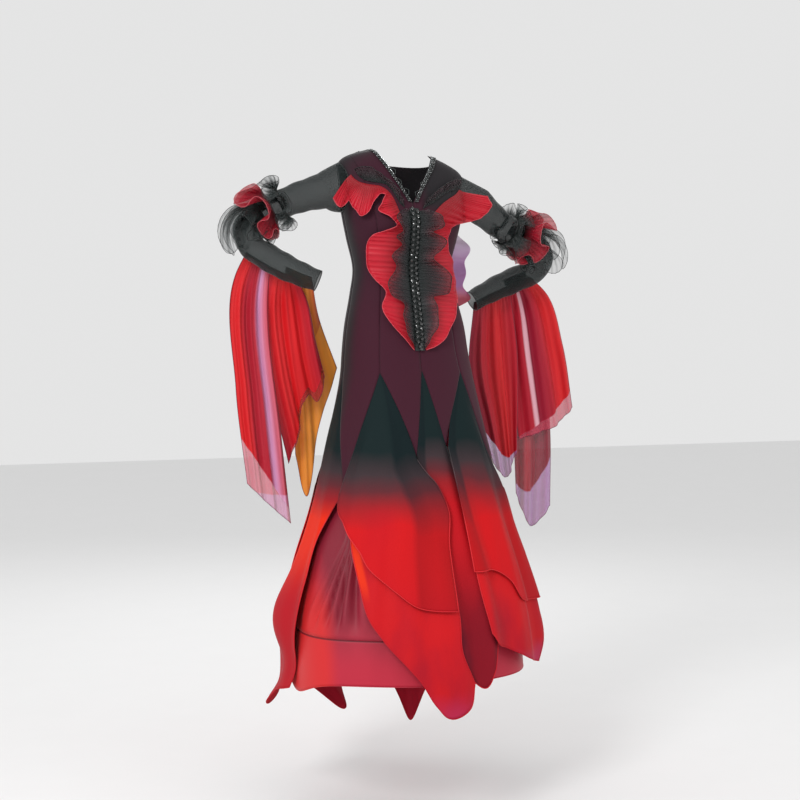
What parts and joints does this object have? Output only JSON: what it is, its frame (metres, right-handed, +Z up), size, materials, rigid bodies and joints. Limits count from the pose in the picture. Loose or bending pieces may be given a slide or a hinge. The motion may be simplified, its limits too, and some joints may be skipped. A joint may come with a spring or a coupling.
{
  "type": "ballroom dance dress",
  "caption": "Worn ballroom dance dress, V neck, frilled bodice, godet skirt with petals over a satin underskirt, long sleeves with elbow frills and floats",
  "frame": {"origin": "between the two neck points, where the wearer's shoulders hold the dress", "axes": "+Z up, the front of the dress faces -Y, +X is the wearer's left"},
  "size_m": [0.9759, 0.6668, 1.5374],
  "materials": {
    "bodice_jersey": "matt stretch cloth, maroon with dark shading",
    "sheer_mesh": "sheer black-green stretch mesh",
    "godet_chiffon": "dip-dyed chiffon, green-black above to bright red below",
    "petal_chiffon": "soft chiffon, crimson to red",
    "underskirt_satin": "dusty crimson satin",
    "red_organza": "see-through red organza, gathered",
    "black_organza": "see-through black organza, gathered",
    "black_ribbon": "black ribbon under two rows of beads",
    "float_chiffon": "light chiffon, red to crimson",
    "float_chiffon_orange": "light chiffon, orange",
    "flounce_chiffon_mauve": "light chiffon, mauve to pale pink"
  },
  "bodies": {
    "root": {"panel_centre_front_left": "bodice_jersey", "panel_centre_front_right": "bodice_jersey", "panel_side_front_left": "bodice_jersey", "panel_side_front_right": "bodice_jersey", "panel_side_back_left": "bodice_jersey", "panel_side_back_right": "bodice_jersey", "panel_centre_back_left": "bodice_jersey", "panel_centre_back_right": "bodice_jersey", "neck_trim_left": "black_ribbon", "neck_trim_right": "black_ribbon", "neck_trim_back": "black_ribbon", "bead_placket": "black_ribbon", "godet_front_right": "godet_chiffon", "godet_front_centre": "godet_chiffon", "godet_front_left": "godet_chiffon", "godet_side_left": "godet_chiffon", "godet_back_left": "godet_chiffon", "godet_back_centre": "godet_chiffon", "godet_back_right": "godet_chiffon", "godet_side_right": "godet_chiffon", "petal_front_right": "petal_chiffon", "petal_front_left": "petal_chiffon", "petal_back_left": "petal_chiffon", "petal_back_right": "petal_chiffon", "underskirt": "underskirt_satin", "underskirt_hem_band": "underskirt_satin", "sleeve_right": "sheer_mesh", "elbow_frill_black_upper_right": "black_organza", "elbow_frill_red_right": "red_organza", "elbow_frill_black_lower_right": "black_organza", "red_frill_right": "red_organza", "black_frill_right": "black_organza", "black_shoulder_frill_right": "black_organza", "sleeve_left": "sheer_mesh", "elbow_frill_black_upper_left": "black_organza", "elbow_frill_red_left": "red_organza", "elbow_frill_black_lower_left": "black_organza", "red_frill_left": "red_organza", "black_frill_left": "black_organza", "black_shoulder_frill_left": "black_organza", "back_flounce_left": "flounce_chiffon_mauve", "float_right_outer": "float_chiffon", "float_right_inner": "float_chiffon", "float_right_under": "float_chiffon_orange", "float_left_outer": "float_chiffon", "float_left_middle": "flounce_chiffon_mauve", "float_left_inner": "float_chiffon"}
  },
  "joints": []
}
